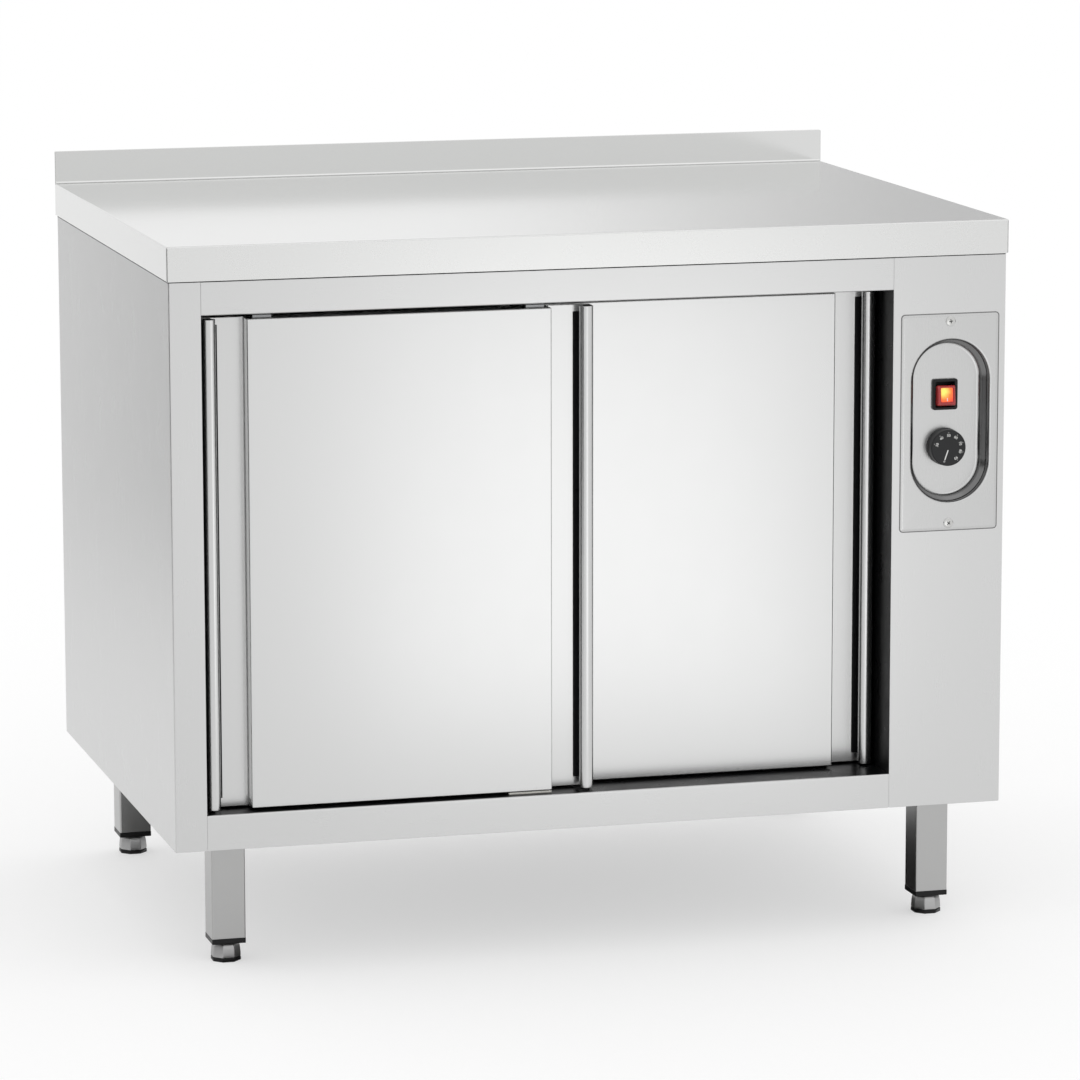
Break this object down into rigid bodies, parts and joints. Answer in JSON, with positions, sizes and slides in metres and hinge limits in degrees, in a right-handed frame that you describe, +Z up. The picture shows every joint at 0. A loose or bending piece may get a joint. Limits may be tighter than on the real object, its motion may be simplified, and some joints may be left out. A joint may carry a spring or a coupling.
{
  "type": "plate warmer cabinet",
  "caption": "Heated stainless steel cabinet for plates, with two sliding doors, a worktop with rear upstand, a recessed control plate and adjustable legs.",
  "frame": {"origin": "centre of the cabinet's footprint, on the floor under the feet", "axes": "+X to the right as seen from the front, -Y towards the user at the doors, +Z up"},
  "size_m": [1, 0.7, 0.89],
  "materials": {
    "worktop_steel": "satin",
    "body_steel": "satin",
    "door_steel": "satin",
    "grip_steel": "satin",
    "inner_steel": "satin",
    "control_plate_steel": "satin",
    "leg_steel": "satin",
    "foot_metal": "satin",
    "screw_steel": "satin",
    "zinc_plate": "satin",
    "heater_sheath": "matte",
    "copper": "satin",
    "nylon": "matte",
    "black_plastic": "satin",
    "red_lens": "gloss",
    "wire_cover": "matte",
    "mineral_wool": "matte"
  },
  "bodies": {
    "cabinet": {"worktop": "worktop_steel", "worktop_stiffeners": "inner_steel", "side_panel_left": "body_steel", "side_panel_right": "body_steel", "back_panel": "body_steel", "base_pan": "body_steel", "top_rail": "body_steel", "bottom_rail": "body_steel", "control_front_panel": "body_steel", "inner_wall_left": "inner_steel", "inner_wall_right": "inner_steel", "inner_wall_back": "inner_steel", "cavity_floor": "inner_steel", "cavity_ceiling": "inner_steel", "insulation_slabs": "mineral_wool", "door_track": "inner_steel", "door_guides": "nylon", "shelf": "inner_steel", "shelf_brackets": "inner_steel", "heater_element": "heater_sheath", "fan_motor": "zinc_plate", "fan_cover": "inner_steel", "thermostat_body": "nylon", "thermostat_bulb": "copper", "switch_body": "black_plastic", "control_plate": "control_plate_steel", "control_plate_screws": "screw_steel", "terminal_block": "nylon", "cable_gland": "black_plastic", "wiring_loom": "wire_cover", "leg_front_left": "leg_steel", "leg_front_right": "leg_steel", "leg_rear_left": "leg_steel", "leg_rear_right": "leg_steel", "leg_caps": "black_plastic", "leg_plates": "leg_steel", "leg_bolts": "screw_steel"},
    "door_left": {"door_left_panel": "door_steel", "door_left_back": "inner_steel", "door_left_core": "mineral_wool", "door_left_grip_outer": "grip_steel", "door_left_grip_inner": "grip_steel", "door_left_hangers": "zinc_plate"},
    "door_right": {"door_right_panel": "door_steel", "door_right_back": "inner_steel", "door_right_core": "mineral_wool", "door_right_grip_inner": "grip_steel", "door_right_grip_outer": "grip_steel", "door_right_hangers": "zinc_plate"},
    "door_left_roller_a": {"door_left_roller_a": "nylon"},
    "door_left_roller_b": {"door_left_roller_b": "nylon"},
    "door_right_roller_a": {"door_right_roller_a": "nylon"},
    "door_right_roller_b": {"door_right_roller_b": "nylon"},
    "foot_front_left": {"foot_front_left": "foot_metal"},
    "foot_front_right": {"foot_front_right": "foot_metal"},
    "foot_rear_left": {"foot_rear_left": "foot_metal"},
    "foot_rear_right": {"foot_rear_right": "foot_metal"},
    "fan_wheel": {"fan_wheel": "zinc_plate"},
    "thermostat_knob": {"thermostat_knob": "black_plastic"},
    "switch_rocker": {"switch_rocker": "red_lens"}
  },
  "joints": [
    {"name": "door_left_slide", "type": "slide", "parent": "cabinet", "child": "door_left", "axis": [1, 0, 0], "range_m": [0, 0.3543]},
    {"name": "door_right_slide", "type": "slide", "parent": "cabinet", "child": "door_right", "axis": [1, 0, 0], "range_m": [-0.3543, 0]},
    {"name": "door_left_roller_a_spin", "type": "hinge", "parent": "door_left", "child": "door_left_roller_a", "pos_m": [-0.3873, -0.323, 0.7845], "axis": [0, 1, 0], "range_deg": [-5, 1851]},
    {"name": "door_left_roller_b_spin", "type": "hinge", "parent": "door_left", "child": "door_left_roller_b", "pos_m": [-0.0678, -0.323, 0.7845], "axis": [0, 1, 0], "range_deg": [-5, 1851]},
    {"name": "door_right_roller_a_spin", "type": "hinge", "parent": "door_right", "child": "door_right_roller_a", "pos_m": [-0.033, -0.287, 0.7845], "axis": [0, 1, 0], "range_deg": [-1851, 5]},
    {"name": "door_right_roller_b_spin", "type": "hinge", "parent": "door_right", "child": "door_right_roller_b", "pos_m": [0.2865, -0.287, 0.7845], "axis": [0, 1, 0], "range_deg": [-1851, 5]},
    {"name": "foot_front_left_screw", "type": "slide", "parent": "cabinet", "child": "foot_front_left", "axis": [0, 0, -1], "range_m": [0, 0.03]},
    {"name": "foot_front_right_screw", "type": "slide", "parent": "cabinet", "child": "foot_front_right", "axis": [0, 0, -1], "range_m": [0, 0.03]},
    {"name": "foot_rear_left_screw", "type": "slide", "parent": "cabinet", "child": "foot_rear_left", "axis": [0, 0, -1], "range_m": [0, 0.03]},
    {"name": "foot_rear_right_screw", "type": "slide", "parent": "cabinet", "child": "foot_rear_right", "axis": [0, 0, -1], "range_m": [0, 0.03]},
    {"name": "fan_spin", "type": "hinge", "parent": "cabinet", "child": "fan_wheel", "pos_m": [0.36, 0.06, 0.33], "axis": [1, 0, 0], "continuous": true},
    {"name": "thermostat_turn", "type": "hinge", "parent": "cabinet", "child": "thermostat_knob", "pos_m": [0.431, -0.335, 0.5818], "axis": [0, 1, 0], "range_deg": [0, 270]},
    {"name": "switch_rock", "type": "hinge", "parent": "cabinet", "child": "switch_rocker", "pos_m": [0.43, -0.3272, 0.6438], "axis": [1, 0, 0], "range_deg": [0, 14]}
  ],
  "couplings": [
    {"joint": "door_left_roller_a_spin", "follows": "door_left_slide", "rad_per_m": 90.909},
    {"joint": "door_left_roller_b_spin", "follows": "door_left_slide", "rad_per_m": 90.909},
    {"joint": "door_right_roller_a_spin", "follows": "door_right_slide", "rad_per_m": 90.909},
    {"joint": "door_right_roller_b_spin", "follows": "door_right_slide", "rad_per_m": 90.909}
  ]
}
